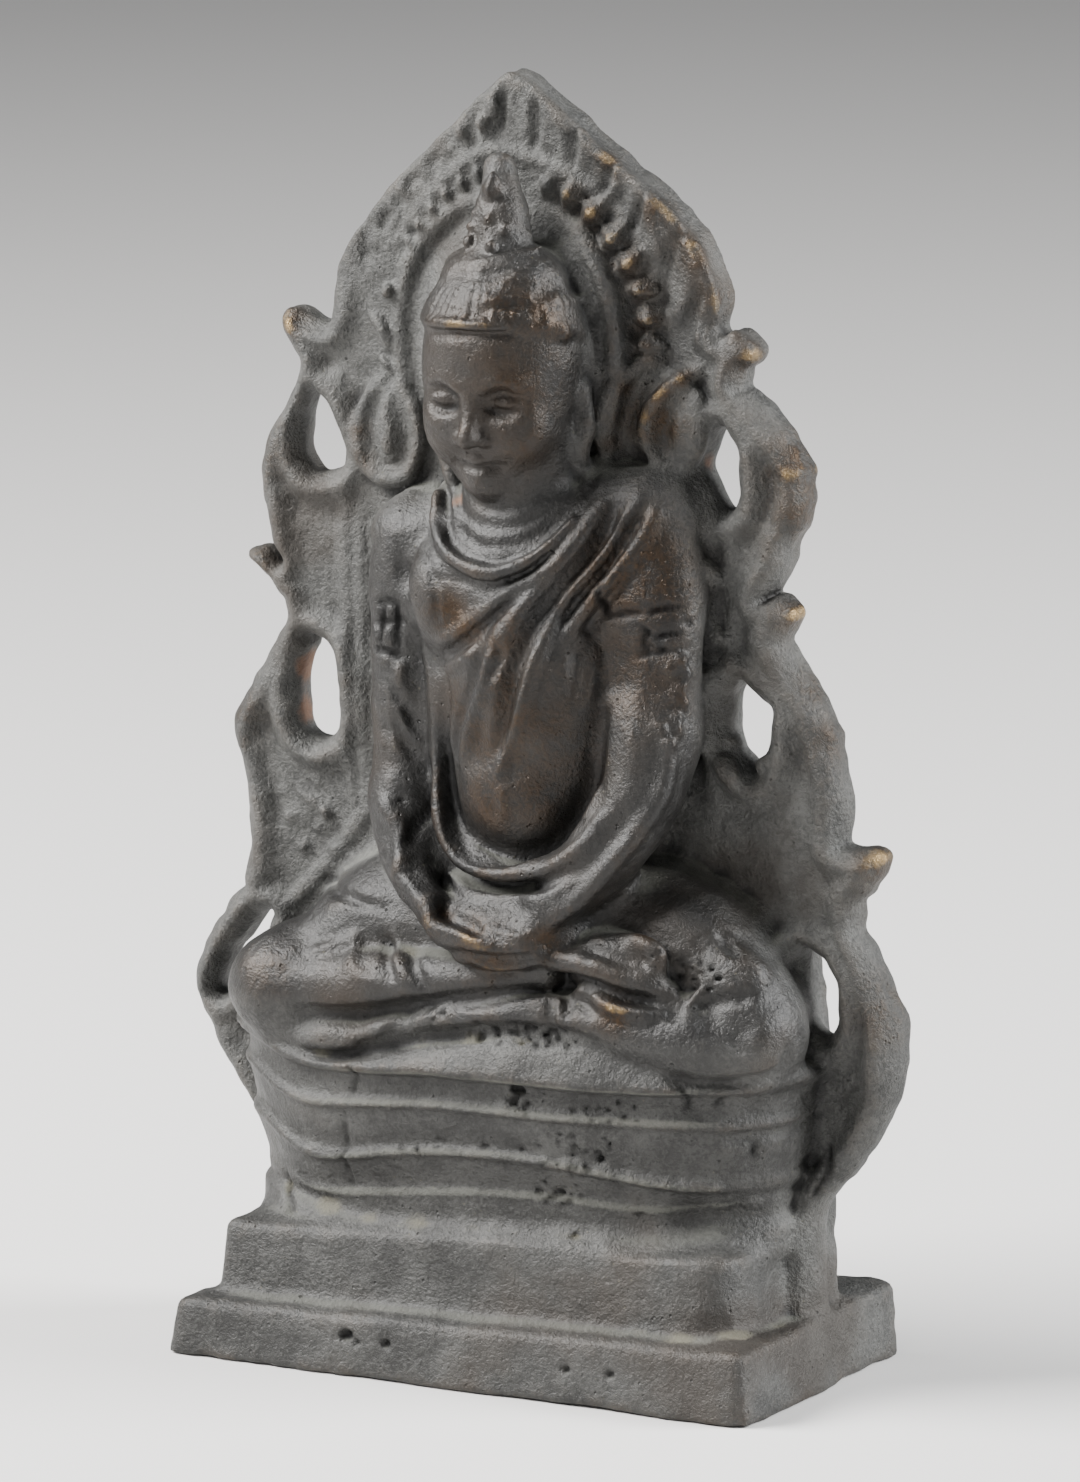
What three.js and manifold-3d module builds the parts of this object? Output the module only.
// A seated Buddha in meditation, cast in one piece with its lotus seat, its flaming back plate and its
// stepped plinth. Millimetres, +Z up, the figure faces -Y. The origin is the middle of the underside.

import * as THREE from 'three';
import { mergeVertices } from 'three/addons/utils/BufferGeometryUtils.js';
import Module from 'manifold-3d';

const wasm = await Module();
wasm.setup();

// Driving dimensions of the casting
const HEIGHT = 110;
const BASE_HALF_WIDTH = 28.7;
const BASE_HALF_DEPTH = 14.7;

// Plinth: two steps. The casting slumped, so each top rises towards +X and towards the seat.
const STEP_CORNER = 0.8;
const STEP_BATTER = 0.7;
const STEP_TOP_INSET = 4;
const LOWER_TOP = { middle: 5.9, acrossSlope: 0.03, inwardSlope: 0.16 };
const UPPER_HALF_WIDTH = 25.2;
const UPPER_FRONT = -11.7;
const UPPER_BACK = 4;
const UPPER_TOP = { middle: 12.6, acrossSlope: 0.041, inwardSlope: 0.2 };

// Seat: a cushion of three rolls, each with a lip, that narrows to a waist and flares out at its foot
const SEAT_MIDDLE = [0.2, 1.0];
const SEAT_SQUARENESS = 2.5;
const SEAT_TILT = 0.035;
const SEAT_CURL = 2.2;
const SEAT_RINGS = [
  { height: 10.6, halfWidth: 25.2, depth: 12.2 },
  { height: 12.6, halfWidth: 25.1, depth: 12.0 },
  { height: 14.6, halfWidth: 24.5, depth: 11.2 },
  { height: 17.6, halfWidth: 25.8, depth: 12.8 },
  { height: 18.6, halfWidth: 26.2, depth: 12.8 },
  { height: 19.0, halfWidth: 25.9, depth: 12.0 },
  { height: 21.4, halfWidth: 26.7, depth: 13.3 },
  { height: 22.6, halfWidth: 27.0, depth: 13.3 },
  { height: 23.0, halfWidth: 26.6, depth: 12.5 },
  { height: 25.0, halfWidth: 27.4, depth: 13.6 },
  { height: 26.4, halfWidth: 27.6, depth: 13.6 },
  { height: 27.4, halfWidth: 26.8, depth: 12.8 },
];
const SEAT_BACK = 2.4;
const SEAT_SIDES = 24;

// Back plate: a pointed arch with three flame tongues a side, leaning a little towards -X as it rises.
// Each stretch of the outline runs from notch to notch, as (x, z), clockwise from the point of the arch.
const PLATE_FRONT = 0.3;
const PLATE_BACK = 3.7;
const PLATE_EDGE = 0.5;
const STRETCH_STEPS = 7;
const APEX = [-2.7, HEIGHT];
const PLATE_STRETCHES = {
  leftArch: [APEX, [-0.9, 109.3], [6.3, 104], [13.8, 98.2], [17.1, 92], [16.9, 90]],
  leftTopTongue: [[16.9, 90], [19.3, 85.5], [23.3, 81.2], [25.3, 77.3], [24.9, 74.3], [21.7, 67.6]],
  leftMiddleTongue: [[21.7, 67.6], [23.1, 63.5], [26.7, 58.7], [28.9, 50.8], [28.6, 46.9]],
  leftLowTongue: [[28.6, 46.9], [30.2, 41.9], [33.2, 34.1], [34.1, 30.7], [33.4, 25.9], [31, 20.5], [26.6, 13.4]],
  foot: [[26.6, 13.4], [-25.6, 12.6]],
  rightLowTongue: [[-25.6, 12.6], [-27.2, 17.5], [-32.2, 25.6], [-33.2, 29.6], [-31.4, 34.7], [-28.4, 38.6]],
  rightMiddleTongue: [[-28.4, 38.6], [-27.9, 42.9], [-29.7, 51.1], [-26.4, 58], [-24.4, 62.4], [-25, 67.3]],
  rightTopTongue: [[-25, 67.3], [-26.7, 74], [-26, 77.6], [-23.5, 82.1], [-22.6, 85], [-20.1, 87.7]],
  rightArch: [[-20.1, 87.7], [-19.1, 92.1], [-15, 98.5], [-7.3, 106.1], [-3.9, 109.2], APEX],
};

// The pierced gaps between tongue and arch, as a middle (x, z), half-sizes and a turn in degrees
const GAPS = [
  { middle: [18.1, 78.4], across: 1.85, along: 3.2, turn: -4 },
  { middle: [21.2, 56.4], across: 2.2, along: 3.3, turn: 4 },
  { middle: [27.4, 34.0], across: 1.8, along: 3.8, turn: 6 },
  { middle: [-20.6, 78.2], across: 2.0, along: 3.6, turn: -14 },
  { middle: [-21.1, 56.0], across: 2.0, along: 4.4, turn: -6 },
  { middle: [-28.5, 31.4], across: 1.3, along: 4.6, turn: -28 },
];
const GAP_SIDES = 12;

// Pier: the foot of the back plate, thicker below, standing on the lower step
const PIER_RINGS = [
  { height: 3.5, halfWidth: 25.9, front: -0.6, back: 7.2 },
  { height: 13.5, halfWidth: 25.8, front: -0.2, back: 7.0 },
  { height: 24, halfWidth: 26.4, front: 0.6, back: 5.9 },
  { height: 46, halfWidth: 24.6, front: 1.0, back: 3.8 },
];

// Rolled ends of the flame tongues, as a path and the radii along it
const FLAME_TIPS = {
  leftTop: { path: [[17.4, 1.9, 84.6], [18, 1.6, 87.4], [20.4, 0.8, 87.8]], radii: [1.2, 1.5, 1.3] },
  leftMiddle: { path: [[22, 1.9, 63], [22.2, 1.6, 65.4], [24.4, 0.8, 66.2]], radii: [1.1, 1.4, 1.3] },
  leftLow: { path: [[28, 1.9, 41], [28.4, 1.6, 43.8], [32, 0.8, 45.1]], radii: [1.2, 1.7, 1.6] },
  rightTop: { path: [[-20.6, 2, 84.6], [-22.2, 2, 86.4], [-24.2, 1.6, 87.4]], radii: [1.2, 1.4, 1.2] },
  rightMiddle: { path: [[-24.6, 2, 62.8], [-25.6, 2, 65.3], [-27.6, 1.8, 67]], radii: [1.1, 1.1, 0.6] },
};
const TIP_MESH = { sides: 6, steps: 3 };

// Halo on the plate: a smooth nimbus rim, a ring of beads and an outer rim, as arches about the head
const NIMBUS = { middle: [-2.1, 87.5], halfWidth: 10.3, rise: 11.8, foot: 75.8, radius: 0.8 };
const OUTER_RIM = { middle: [-1.9, 88.6], halfWidth: 14.4, rise: 15.2, foot: 88.6, radius: 0.55 };
const BEAD_RING = { middle: [-1.6, 88.4], halfWidth: 12.7, rise: 13.5, count: 17, half: [1.0, 0.9, 0.85] };
const RAYS = { middle: [-1.9, 88], inner: [16.2, 17.4], edgeGap: 1.6, count: 9, radii: [1.1, 1.4, 0.6] };
const RELIEF_RISE = 0.1;
const ARCH_STEPS = 8;
const ARCH_MESH = { sides: 5, steps: 10 };
const RAY_MESH = { sides: 5, steps: 2 };
const BEAD_MESH = { around: 5, down: 4 };

// Ridges on the plate, as (x, z): scroll volutes at the ears, the throne's uprights and the cloth's edge
const PLATE_RIDGES = {
  leftScroll: { path: [[11.5, 87], [9, 85.1], [7.5, 81.5], [8.2, 78.4], [11.3, 76.9], [14.6, 77.4]], radius: 1 },
  leftScrollLeaf: { path: [[15.6, 86.2], [12.4, 84], [11.1, 81], [12.2, 78.4]], radius: 1.1 },
  leftScrollEye: { path: [[15.8, 83.6], [14.6, 81.4], [14.2, 79]], radius: 1.5 },
  rightScroll: { path: [[-14.6, 83], [-16.6, 79.6], [-15.6, 75.2], [-12.6, 75], [-11, 78.5]], radius: 0.9 },
  rightScrollEye: { path: [[-14.6, 82.6], [-13.4, 79.4], [-13.6, 76.4]], radius: 1.0 },
  rightUpright: { path: [[-17.6, 72.6], [-17.7, 57], [-17.6, 43]], radius: 1.1 },
  leftUpright: { path: [[17, 76.3], [17.6, 65], [17.2, 51]], radius: 1.1 },
  clothEdge: { path: [[-14.6, 45.5], [-19.4, 41.4], [-24.2, 36.8]], radius: 1.0 },
};
const RIDGE_SINK = 0.25;
const RIDGE_TAPER = 0.7;
const RIDGE_MESH = { sides: 5, steps: 5 };

// Torso and lap: level sections from the waist to the shoulders and from the seat to the waist,
// each a middle (x, y), a half-width, and how far it reaches forwards; the back lies in the plate
const TORSO_SECTIONS = [
  { height: 43.0, middle: [2.0, -1.0], halfWidth: 9.8, depth: 7.2 },
  { height: 46.0, middle: [1.9, -1.0], halfWidth: 9.0, depth: 7.6 },
  { height: 51.0, middle: [1.7, -1.0], halfWidth: 8.2, depth: 8.4 },
  { height: 56.0, middle: [1.6, -1.0], halfWidth: 8.0, depth: 8.3 },
  { height: 60.5, middle: [1.4, -1.0], halfWidth: 9.2, depth: 7.5 },
  { height: 64.5, middle: [1.2, -1.0], halfWidth: 12.0, depth: 7.7 },
  { height: 68.5, middle: [1.0, -0.8], halfWidth: 13.6, depth: 7.3 },
  { height: 71.6, middle: [1.2, -0.6], halfWidth: 12.2, depth: 6.2 },
  { height: 74.2, middle: [1.6, -0.4], halfWidth: 8.6, depth: 4.8 },
];
const SHOULDER_TILT = 0.13;
const LAP_SECTIONS = [
  { height: 26.5, middle: [1.2, 0], halfWidth: 22.0, depth: 9.6 },
  { height: 28.5, middle: [1.2, 0], halfWidth: 24.0, depth: 10.8 },
  { height: 31.5, middle: [1.2, 0], halfWidth: 24.8, depth: 11.4 },
  { height: 34.5, middle: [1.4, 0], halfWidth: 24.0, depth: 11.0 },
  { height: 37.5, middle: [1.6, 0], halfWidth: 20.6, depth: 9.4 },
  { height: 41.0, middle: [1.8, 0], halfWidth: 16.0, depth: 8.2 },
  { height: 45.0, middle: [2.0, 0], halfWidth: 11.4, depth: 7.6 },
];
const CHEST_HEIGHT = 60.5;
const BODY_BACK = 2.4;
const BODY_SIDES = 16;
const BODY_SQUARENESS = 2.2;

// Rounded masses on the body, as a middle and three half-sizes. Left and right are the figure's own.
const MASSES = {
  rightBreast: { middle: [-4.4, -5.0, 66.4], half: [4.4, 3.4, 4.2] },
  rightKnee: { middle: [-20.2, -6.6, 31.8], half: [5.0, 5.0, 4.7] },
  leftKnee: { middle: [22.2, -5.8, 31.2], half: [5.2, 5.6, 5.3] },
};
const MASS_MESH = { around: 12, down: 7 };

// Limbs, as a path of places and the radii along it
const LIMBS = {
  rightUpperArm: { path: [[-11.8, -1.8, 69], [-12.3, -3, 60], [-10.9, -4.4, 49]], radii: [3.8, 3.0, 2.7] },
  rightForearm: { path: [[-10.9, -4.4, 49], [-8.6, -7.4, 45], [-4.2, -9.8, 41.6]], radii: [2.7, 2.4, 1.9] },
  leftUpperArm: { path: [[13.6, -1.4, 70.8], [14.8, -2.4, 62], [16, -4, 54.6]], radii: [4.6, 4.0, 3.0] },
  leftForearm: { path: [[16, -4, 54.6], [13.6, -7, 48.4], [8.6, -10, 42.2]], radii: [3.0, 2.8, 2.2] },
  rightThigh: { path: [[-4, -2.4, 40], [-13, -4.8, 35.8], [-19.6, -6.4, 32.6]], radii: [4.6, 5.2, 4.2] },
  leftThigh: { path: [[8, -2.4, 40.5], [16.4, -4.6, 35.8], [21.6, -5.6, 32]], radii: [4.6, 5.4, 4.6] },
  leftShin: { path: [[21.2, -6.4, 30.6], [13, -9, 30.8], [5, -9.8, 31.6]], radii: [4.2, 3.4, 2.8] },
  rightShin: {
    path: [[-19, -7, 31.4], [-8, -9.6, 32], [5, -10.4, 31.4], [14, -9.4, 30.4]],
    radii: [4.2, 3.4, 3.0, 2.6],
  },
  rightFoot: { path: [[8.4, -10.9, 38.6], [14.2, -10.6, 38], [19.6, -8.8, 36.4]], radii: [1.5, 1.9, 1.4] },
  rightHeel: { path: [[11.6, -11, 34.6], [16.4, -10.8, 33.6]], radii: [1.6, 1.8] },
  leftFoot: { path: [[-11.4, -9.6, 36.6], [-6.4, -10.4, 37.4], [-2.4, -10.4, 37.4]], radii: [1.6, 2.0, 1.6] },
  upperHand: {
    path: [[-4.2, -10.4, 41.8], [-0.6, -11.6, 39.8], [4.6, -11.7, 39.4], [8.6, -10.2, 41.6]],
    radii: [1.8, 2.1, 2.1, 2.0],
  },
  lowerHand: { path: [[-1.4, -11.4, 38.4], [3, -11.8, 37.6], [7, -11.2, 38.4]], radii: [1.1, 1.4, 1.1] },
  rightEar: { path: [[-7.5, -3.4, 84.6], [-7.3, -3, 79.4], [-6.2, -3.2, 74.6]], radii: [1.1, 0.9, 1.3] },
  leftEar: { path: [[6.7, -3.2, 85], [7.2, -2.8, 80], [7.4, -2.8, 75.4]], radii: [1.1, 0.9, 1.3] },
};
const LIMB_MESH = { sides: 7, steps: 4 };
const CAP_ANGLE = 52;

// Robe: hems and folds as ridges that lie on the body, as a radius and a path of places
const FOLDS = {
  collar: [0.9, [-6.6, -3.6, 76.2], [-6, -6.4, 72.6], [-3, -7.8, 70], [2.2, -8.1, 69.5], [7.6, -6.6, 72.8]],
  sashEdge: [1.2, [11.2, -3.8, 76.2], [7.2, -6.8, 71.8], [3, -8.1, 67.6], [-1.4, -8.4, 62.6], [-4.6, -8, 57]],
  sashMiddle: [1.1, [13.2, -3.8, 76], [9.6, -6.8, 70.8], [5.4, -8.1, 66], [1.2, -8.5, 60], [-2.4, -9, 53.4]],
  sashInner: [0.9, [15.2, -4, 75.2], [11.6, -6.4, 70], [7.6, -7.8, 65], [3.8, -8.6, 59], [1.2, -9.2, 52.4]],
  waistHem: [1.0, [-5.4, -7, 56], [-5, -8.2, 48.4], [-0.8, -9, 44.8], [5.6, -8.6, 45.6], [11.4, -6.2, 52.6]],
  lapFold: [1.0, [-6.2, -7.6, 49], [-3, -9, 43.6], [2.8, -9.4, 42.6], [8.8, -8.6, 45.4], [12.4, -7, 49.8]],
};
const FOLD_TAPER = 0.6;
const FOLD_MESH = { sides: 5, steps: 6 };

// Head, from its place, tilt, rough size and the usual proportions of a head
const HEAD_MIDDLE = [-0.4, -3.9, 85.6];
const HEAD_TALL = 20.4;
const HEAD_WIDE = 14.6;
const HEAD_NOD = 4;
const NECK_SIDES = 12;
const NECK_HEIGHTS = [69.6, 70.7, 71.6, 72.5, 73.4, 74.3, 75.2, 79];
const NECK_RADII = [5.2, 5.1, 5.8, 5.1, 5.7, 5.0, 5.4, 4.9];
const NECK_ENDS = [[1.3, -2.6], [0.6, -3.4]];
const HAIR_ROLL_RADIUS = 0.7;
const HAIR_ROLL_ANGLES = [-80, -40, 0, 40, 80];
const HAIR_ROLL_MESH = { sides: 5, steps: 6 };
const SKULL_MESH = { around: 12, down: 9 };
const FEATURE_MESH = { sides: 6, steps: 2 };
const BROW_MESH = { sides: 5, steps: 3 };
const EYE_MESH = { around: 8, down: 5 };
const TOPKNOT = { foot: [-0.6, -4.3, 96.0], top: [-1.7, -2.6, 102.2], radii: [2.4, 2.1, 1.2] };
const TOPKNOT_RING = { radius: 3.5, thickness: 0.9, sides: 6, steps: 14 };
const TOPKNOT_MESH = { sides: 8, steps: 3 };

const BRASS = { color: 0x4a443d, roughness: 0.5, metalness: 0.85 };
const WELD = 1e-4;
const ROUND = 2;

function radians(degrees) {
  return THREE.MathUtils.degToRad(degrees);
}

// Turns a closed geometry into a solid that can be joined and cut.
function toSolid(geometry) {
  const bare = geometry.clone();
  bare.deleteAttribute('normal');
  bare.deleteAttribute('uv');
  const welded = mergeVertices(bare, WELD);
  const vertProperties = Float32Array.from(welded.attributes.position.array);
  const triVerts = Uint32Array.from(welded.index.array);
  return new wasm.Manifold(new wasm.Mesh({ numProp: 3, vertProperties, triVerts }));
}

function join(solids) {
  return solids.reduce((whole, next) => whole.add(next));
}

// Skins a stack of rings with equal numbers of points, and closes each end on a point.
function skin(rings, first, last) {
  const sides = rings[0].length;
  const points = [...rings.flat(), first, last];
  const firstIndex = points.length - 2;
  const lastIndex = points.length - 1;
  const faces = [];
  for (let side = 0; side < sides; side += 1) {
    const next = (side + 1) % sides;
    faces.push([firstIndex, next, side]);
    for (let ring = 0; ring + 1 < rings.length; ring += 1) {
      const low = ring * sides;
      const high = low + sides;
      faces.push([low + side, low + next, high + next], [low + side, high + next, high + side]);
    }
    const top = (rings.length - 1) * sides;
    faces.push([lastIndex, top + side, top + next]);
  }
  const volume = faces.reduce((sum, [a, b, c]) => {
    return sum + points[a].dot(new THREE.Vector3().crossVectors(points[b], points[c]));
  }, 0);
  const outward = volume > 0 ? faces : faces.map(([a, b, c]) => [a, c, b]);
  const geometry = new THREE.BufferGeometry().setFromPoints(points);
  geometry.setIndex(outward.flat());
  return toSolid(geometry);
}

function middleOf(ring) {
  const sum = ring.reduce((total, point) => total.add(point), new THREE.Vector3());
  return sum.divideScalar(ring.length);
}

// Reads a list of values at a share of the way along it.
function along(values, share) {
  const place = share * (values.length - 1);
  const index = Math.min(Math.floor(place), values.length - 2);
  return THREE.MathUtils.lerp(values[index], values[index + 1], place - index);
}

// A round-ended limb: rings about a smooth path, drawn in to a point over each end.
function limb({ path, radii }, { sides, steps } = LIMB_MESH) {
  const line = new THREE.CatmullRomCurve3(path.map((place) => new THREE.Vector3(...place)));
  const frames = line.computeFrenetFrames(steps);
  const girths = radii.length > 1 ? radii : [radii[0], radii[0]];
  const stations = [];
  for (let step = 0; step <= steps; step += 1) {
    const share = step / steps;
    stations.push({ step, centre: line.getPointAt(share), radius: along(girths, share), slide: 0, scale: 1 });
  }
  const capSlide = Math.sin(radians(CAP_ANGLE));
  const capScale = Math.cos(radians(CAP_ANGLE));
  const start = { ...stations[0], slide: -capSlide, scale: capScale };
  const end = { ...stations[steps], slide: capSlide, scale: capScale };
  const rings = [start, ...stations, end].map((station) => {
    const centre = station.centre.clone();
    centre.addScaledVector(frames.tangents[station.step], station.slide * station.radius);
    return Array.from({ length: sides }, (_, side) => {
      const angle = (2 * Math.PI * side) / sides;
      const reach = station.radius * station.scale;
      return centre.clone()
        .addScaledVector(frames.normals[station.step], reach * Math.cos(angle))
        .addScaledVector(frames.binormals[station.step], reach * Math.sin(angle));
    });
  });
  const first = stations[0].centre.clone().addScaledVector(frames.tangents[0], -stations[0].radius);
  const last = stations[steps].centre.clone().addScaledVector(frames.tangents[steps], stations[steps].radius);
  return skin(rings, first, last);
}

// An ellipsoid, with its poles above and below
function mass({ middle, half }, { around, down } = MASS_MESH) {
  const ball = new THREE.SphereGeometry(1, around, down);
  ball.rotateX(Math.PI / 2);
  ball.scale(...half);
  ball.translate(...middle);
  return toSolid(ball);
}

// Corners of a rectangle with cut corners, lifted by a function of x and y
function cutRectangle(left, right, front, back, corner, heightAt) {
  const plan = [
    [left + corner, front], [right - corner, front], [right, front + corner], [right, back - corner],
    [right - corner, back], [left + corner, back], [left, back - corner], [left, front + corner],
  ];
  return plan.map(([x, y]) => new THREE.Vector3(x, y, heightAt(x, y)));
}

function block(rings) {
  return skin(rings, middleOf(rings[0]), middleOf(rings.at(-1)));
}

// One step of the plinth: upright sides with a little batter, a soft top edge and a slumped top
function plinthStep(halfWidth, front, back, bottom, top) {
  const topAt = (drop) => (x, y) => {
    const inward = Math.min(y - front, halfWidth - Math.abs(x));
    return top.middle + top.acrossSlope * x + top.inwardSlope * Math.max(inward, 0) - drop;
  };
  const ring = (inset, heightAt) => {
    const half = halfWidth - inset;
    return cutRectangle(-half, half, front + inset, back - inset, STEP_CORNER, heightAt);
  };
  return block([
    ring(0.3, () => bottom),
    ring(0, () => bottom + 0.3),
    ring(STEP_BATTER * 0.6, topAt(1.0)),
    ring(STEP_BATTER * 1.5, topAt(0.2)),
    ring(STEP_TOP_INSET, topAt(0)),
  ]);
}

function plinth() {
  const lower = plinthStep(BASE_HALF_WIDTH, -BASE_HALF_DEPTH, BASE_HALF_DEPTH, 0, LOWER_TOP);
  const upper = plinthStep(UPPER_HALF_WIDTH, UPPER_FRONT, UPPER_BACK, LOWER_TOP.middle - 2, UPPER_TOP);
  return join([lower, upper]);
}

// Skins level sections, cut off flat at the back, each point lifted by a function. A squareness of two
// gives ellipses, and a greater one gives rectangles with rounded corners.
function sections(list, sides, squareness, back, liftAt) {
  const power = 2 / squareness;
  const bend = (value) => Math.sign(value) * Math.abs(value) ** power;
  return block(list.map(({ height, middle, halfWidth, depth }) => {
    return Array.from({ length: sides }, (_, side) => {
      const angle = (2 * Math.PI * side) / sides;
      const across = bend(Math.cos(angle));
      const x = middle[0] + halfWidth * across;
      const y = Math.min(middle[1] + depth * bend(Math.sin(angle)), back);
      return new THREE.Vector3(x, y, height + liftAt(x, across, height));
    });
  }));
}

// The seat's rolls, which tilt with the plinth and curl up at both ends
function seat() {
  const foot = SEAT_RINGS[0].height;
  const tall = SEAT_RINGS.at(-1).height - foot;
  const rings = SEAT_RINGS.map((ring) => ({ ...ring, middle: SEAT_MIDDLE }));
  return sections(rings, SEAT_SIDES, SEAT_SQUARENESS, SEAT_BACK, (x, across, height) => {
    return SEAT_TILT * x + SEAT_CURL * across ** 8 * ((height - foot) / tall);
  });
}

// Samples the outline stretches with a smooth curve through each one's points.
function outline() {
  return Object.values(PLATE_STRETCHES).flatMap((stretch) => {
    const curve = new THREE.SplineCurve(stretch.map(([x, z]) => new THREE.Vector2(x, z)));
    return curve.getSpacedPoints(STRETCH_STEPS).slice(0, -1);
  });
}

function gapCutter({ middle: [x, z], across, along: half, turn }) {
  const cutter = new THREE.CylinderGeometry(1, 1, BASE_HALF_DEPTH, GAP_SIDES);
  cutter.scale(across, 1, half);
  cutter.rotateY(radians(turn));
  cutter.translate(x, PLATE_FRONT, z);
  return toSolid(cutter);
}

// The pierced plate, with softened edges, and the pier that carries it
function backPlate() {
  const sheet = new THREE.ExtrudeGeometry(new THREE.Shape(outline()), {
    depth: PLATE_BACK - PLATE_FRONT - 2 * PLATE_EDGE,
    bevelThickness: PLATE_EDGE,
    bevelSize: PLATE_EDGE,
    bevelOffset: -PLATE_EDGE,
    bevelSegments: 1,
    steps: 1,
    curveSegments: 1,
  });
  sheet.rotateX(Math.PI / 2);
  sheet.translate(0, PLATE_BACK - PLATE_EDGE, 0);
  const pier = block(PIER_RINGS.map(({ height, halfWidth, front, back }) => {
    return cutRectangle(-halfWidth, halfWidth, front, back, STEP_CORNER, () => height);
  }));
  const whole = join([toSolid(sheet), pier, ...Object.values(FLAME_TIPS).map((tip) => limb(tip, TIP_MESH))]);
  return whole.subtract(join(GAPS.map(gapCutter)));
}

// A point on an arch about the head: a half ellipse above its middle and upright legs below it
function archPoint(middle, halfWidth, rise, angle) {
  return [middle[0] + halfWidth * Math.cos(angle), middle[1] + rise * Math.sin(angle)];
}

// Where a line from the middle at an angle meets the plate's outline, drawn back by a gap
function edgePoint([middleX, middleZ], angle, gap) {
  const edge = outline();
  const direction = new THREE.Vector2(Math.cos(angle), Math.sin(angle));
  const reaches = edge.map((from, index) => {
    const to = edge[(index + 1) % edge.length];
    const fromSide = direction.cross(new THREE.Vector2(from.x - middleX, from.y - middleZ));
    const toSide = direction.cross(new THREE.Vector2(to.x - middleX, to.y - middleZ));
    const share = fromSide / (fromSide - toSide);
    const hit = from.clone().lerp(to, share).sub(new THREE.Vector2(middleX, middleZ));
    return fromSide * toSide < 0 ? hit.dot(direction) : 0;
  });
  const reach = Math.max(...reaches) - gap;
  return [middleX + reach * direction.x, middleZ + reach * direction.y];
}

// A ridge that follows an arch, with upright legs where its foot lies below the arch's middle
function archRidge({ middle, halfWidth, rise, foot, radius }) {
  const arc = Array.from({ length: ARCH_STEPS + 1 }, (_, step) => {
    return archPoint(middle, halfWidth, rise, (Math.PI * step) / ARCH_STEPS);
  });
  const legs = [[arc[0][0], foot], ...arc, [arc.at(-1)[0], foot]];
  const line = foot < middle[1] ? legs : arc;
  return limb({ path: line.map(([x, z]) => [x, PLATE_FRONT - RELIEF_RISE, z]), radii: [radius] }, ARCH_MESH);
}

function halo() {
  const beads = Array.from({ length: BEAD_RING.count }, (_, index) => {
    const angle = (Math.PI * (index + 0.5)) / BEAD_RING.count;
    const [x, z] = archPoint(BEAD_RING.middle, BEAD_RING.halfWidth, BEAD_RING.rise, angle);
    const ball = new THREE.SphereGeometry(1, BEAD_MESH.around, BEAD_MESH.down);
    ball.scale(...BEAD_RING.half);
    ball.rotateY(-angle);
    ball.translate(x, PLATE_FRONT - RELIEF_RISE, z);
    return toSolid(ball);
  });
  const rays = Array.from({ length: RAYS.count }, (_, index) => {
    const angle = (Math.PI * (index + 0.5)) / RAYS.count;
    const from = archPoint(RAYS.middle, RAYS.inner[0], RAYS.inner[1], angle);
    const to = edgePoint(RAYS.middle, angle, RAYS.edgeGap);
    const path = [from, to].map(([x, z]) => [x, PLATE_FRONT + RIDGE_SINK, z]);
    return limb({ path, radii: RAYS.radii }, RAY_MESH);
  });
  return join([archRidge(NIMBUS), archRidge(OUTER_RIM), ...beads, ...rays]);
}

function plateRidges() {
  return join(Object.values(PLATE_RIDGES).map(({ path, radius }) => {
    const places = path.map(([x, z]) => [x, PLATE_FRONT + RIDGE_SINK, z]);
    const thin = radius * RIDGE_TAPER;
    return limb({ path: places, radii: [thin, radius, thin] }, RIDGE_MESH);
  }));
}

// A face of usual proportions: the hairline, brow, nose and chin part it in thirds, the eyes lie on the
// brow third's lower part one eye apart, and the mouth is a third of the way from nose to chin.
function face(place) {
  const third = (HEAD_TALL * 0.75) / 3;
  const eyeWide = HEAD_WIDE / 5;
  const chin = -HEAD_TALL / 2;
  const front = -HEAD_WIDE * 0.5;
  const brow = chin + 2 * third;
  const noseFoot = chin + third;
  const mouth = noseFoot - third / 3;
  const nose = limb({
    path: [[0, front + 0.5, brow], [0, front - 0.2, brow - third * 0.5], [0, front - 0.7, noseFoot + 0.6]],
    radii: [0.5, 0.7, 1.05],
  }, FEATURE_MESH);
  const lips = limb({
    path: [[-1.9, front + 1.2, mouth], [0, front + 0.2, mouth], [1.9, front + 1.2, mouth]],
    radii: [0.4, 0.9, 0.4],
  }, FEATURE_MESH);
  const eyes = [-1, 1].map((side) => mass({
    middle: [side * eyeWide, front + 1.7, brow - third * 0.3],
    half: [eyeWide * 0.5, 0.9, 0.85],
  }, EYE_MESH));
  const brows = [-1, 1].map((side) => limb({
    path: [
      [side * 1.0, front + 0.7, brow + 0.2],
      [side * eyeWide, front + 1.3, brow + 0.6],
      [side * eyeWide * 1.7, front + 3.0, brow - 0.3],
    ],
    radii: [0.4, 0.45, 0.25],
  }, BROW_MESH));
  return [nose, lips, ...eyes, ...brows].map(place);
}

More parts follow.
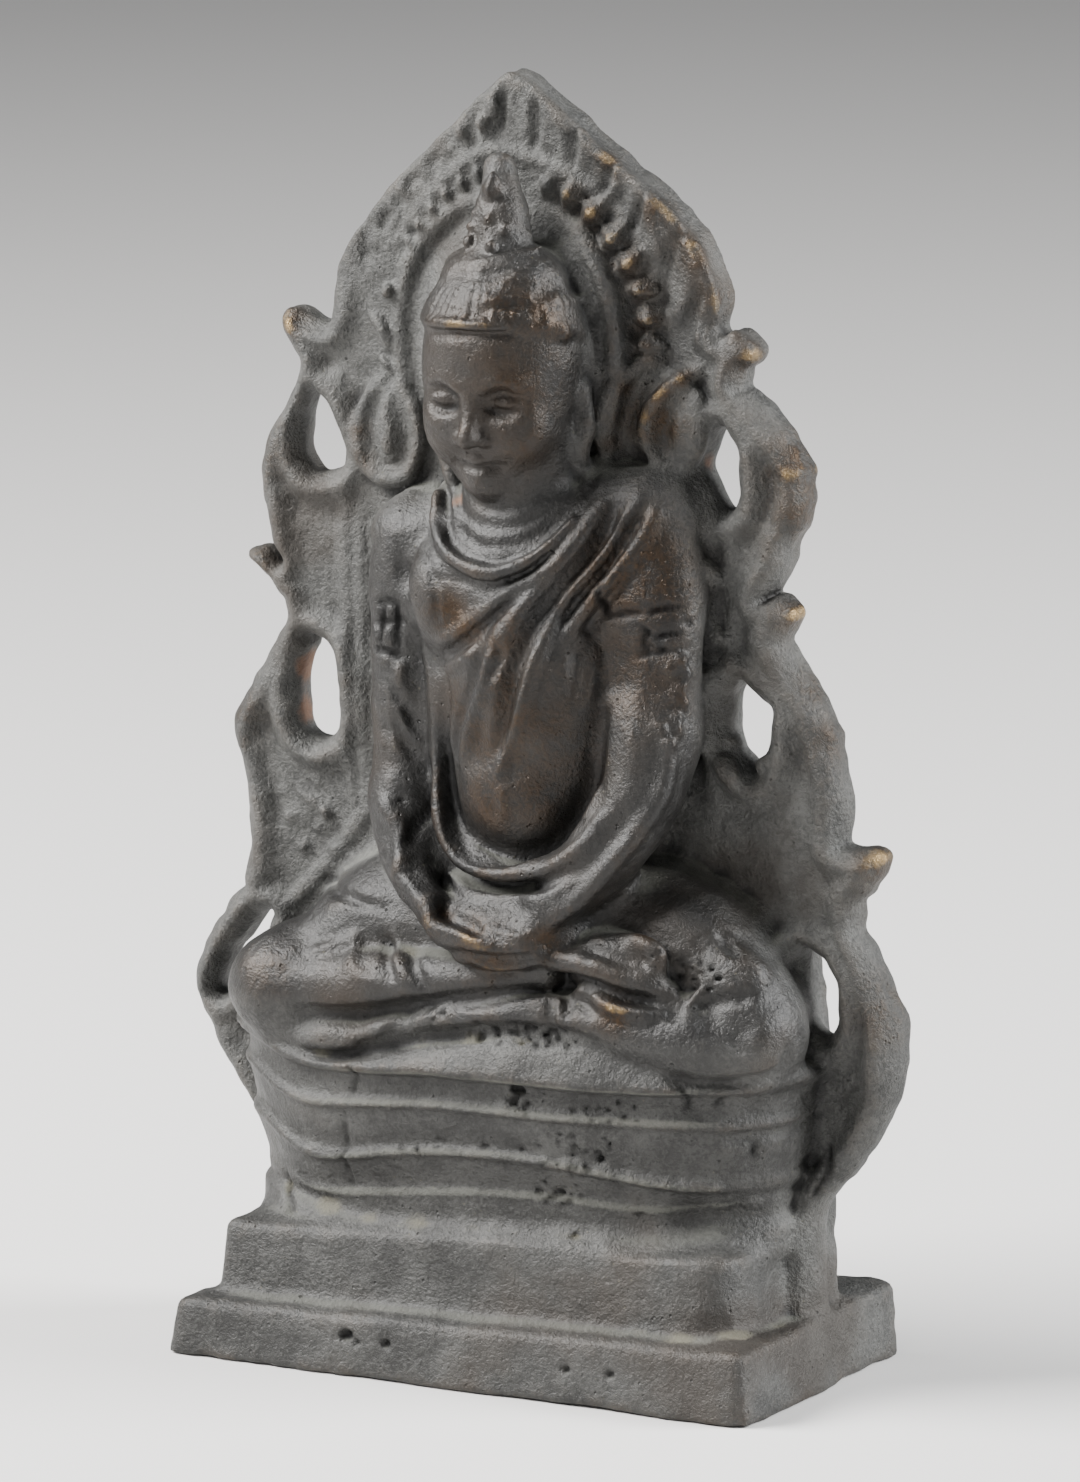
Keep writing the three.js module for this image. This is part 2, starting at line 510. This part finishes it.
// Skull, jaw, cap of hair down to the hairline, its roll, and the face, nodded forward together
function head() {
  const placement = new THREE.Matrix4().makeRotationX(radians(HEAD_NOD));
  placement.setPosition(...HEAD_MIDDLE);
  const place = (solid) => solid.transform(placement.elements);
  const half = HEAD_TALL / 2;
  const side = HEAD_WIDE / 2;
  const skull = mass({ middle: [0, 0.6, 1.9], half: [side, side, half - 1.9] }, SKULL_MESH);
  const jaw = mass({ middle: [0, -0.9, -3.6], half: [side * 0.82, side * 0.86, half - 3.6] });
  const hairline = HEAD_TALL * 0.26;
  const cap = mass({ middle: [0, 0.8, 2.2], half: [side + 0.45, side + 0.35, half - 1.75] }, SKULL_MESH);
  const above = new THREE.BoxGeometry(HEAD_TALL, HEAD_TALL, HEAD_TALL);
  above.translate(0, 0, hairline - HAIR_ROLL_RADIUS / 2 + HEAD_TALL / 2);
  const hair = cap.intersect(toSolid(above));
  const rollReach = side * 0.98;
  const roll = limb({
    path: HAIR_ROLL_ANGLES.map((angle) => [
      rollReach * Math.sin(radians(angle)),
      0.7 - rollReach * Math.cos(radians(angle)),
      hairline,
    ]),
    radii: [HAIR_ROLL_RADIUS],
  }, HAIR_ROLL_MESH);
  return join([...[skull, jaw, hair, roll].map(place), ...face(place)]);
}

// Topknot: a ring on the crown and a short cone of hair above it
function topknot() {
  const { radius, thickness, sides, steps } = TOPKNOT_RING;
  const ring = new THREE.TorusGeometry(radius, thickness, sides, steps);
  ring.translate(...TOPKNOT.foot);
  const middle = TOPKNOT.foot.map((value, axis) => (value + TOPKNOT.top[axis]) / 2);
  const cone = limb({ path: [TOPKNOT.foot, middle, TOPKNOT.top], radii: TOPKNOT.radii }, TOPKNOT_MESH);
  return join([toSolid(ring), cone]);
}

// The neck's creases are level rings that swell and draw in as they rise.
function neck() {
  const rings = NECK_HEIGHTS.map((height, index) => {
    const share = index / (NECK_HEIGHTS.length - 1);
    const middle = [0, 1].map((axis) => THREE.MathUtils.lerp(NECK_ENDS[0][axis], NECK_ENDS[1][axis], share));
    return { height, middle, halfWidth: NECK_RADII[index], depth: NECK_RADII[index] };
  });
  return sections(rings, NECK_SIDES, ROUND, BODY_BACK, () => 0);
}

// The torso's top leans up towards the shoulder that carries the robe.
function torso() {
  const top = TORSO_SECTIONS.at(-1);
  return sections(TORSO_SECTIONS, BODY_SIDES, BODY_SQUARENESS, BODY_BACK, (x, across, height) => {
    const share = Math.max((height - CHEST_HEIGHT) / (top.height - CHEST_HEIGHT), 0);
    return SHOULDER_TILT * share * (x - top.middle[0]);
  });
}

function figure() {
  const masses = Object.values(MASSES).map((part) => mass(part));
  const limbs = Object.values(LIMBS).map((part) => limb(part));
  const folds = Object.values(FOLDS).map(([radius, ...path]) => {
    return limb({ path, radii: [radius * FOLD_TAPER, radius, radius * FOLD_TAPER] }, FOLD_MESH);
  });
  const lap = sections(LAP_SECTIONS, BODY_SIDES, BODY_SQUARENESS, BODY_BACK, () => 0);
  return join([torso(), lap, ...masses, ...limbs, ...folds, neck(), head(), topknot()]);
}

// The casting stops flush with the back of the plate above the plinth.
function behindCut() {
  const reach = 4 * HEIGHT;
  const cutter = new THREE.BoxGeometry(reach, reach, reach);
  cutter.translate(0, PLATE_BACK - 0.2 + reach / 2, reach / 2);
  return toSolid(cutter);
}

const raised = join([figure(), halo(), plateRidges()]).subtract(behindCut());
const casting = join([plinth(), seat(), backPlate(), raised]);

// Keeps the outer skin alone: where masses meet, a join can leave a closed sliver of no volume inside.
function outerSkin(faceCorners, pointCount) {
  const leader = Uint32Array.from({ length: pointCount }, (_, point) => point);
  const lead = (point) => {
    let top = point;
    while (leader[top] !== top) {
      top = leader[top];
    }
    leader[point] = top;
    return top;
  };
  for (let corner = 0; corner < faceCorners.length; corner += 3) {
    leader[lead(faceCorners[corner + 1])] = lead(faceCorners[corner]);
    leader[lead(faceCorners[corner + 2])] = lead(faceCorners[corner]);
  }
  const skins = new Map();
  for (let corner = 0; corner < faceCorners.length; corner += 3) {
    const top = lead(faceCorners[corner]);
    const skinCorners = skins.get(top) ?? [];
    skinCorners.push(...faceCorners.slice(corner, corner + 3));
    skins.set(top, skinCorners);
  }
  return [...skins.values()].reduce((largest, next) => (next.length > largest.length ? next : largest));
}

function toMesh(solid, name, look) {
  const { vertProperties, triVerts } = solid.getMesh();
  const geometry = new THREE.BufferGeometry();
  geometry.setAttribute('position', new THREE.BufferAttribute(vertProperties, 3));
  geometry.setIndex(outerSkin(triVerts, vertProperties.length / 3));
  geometry.computeVertexNormals();
  const mesh = new THREE.Mesh(geometry, new THREE.MeshStandardMaterial(look));
  mesh.name = name;
  return mesh;
}

const group = new THREE.Group();
group.add(toMesh(casting, 'buddha_statue', BRASS));

export default group;
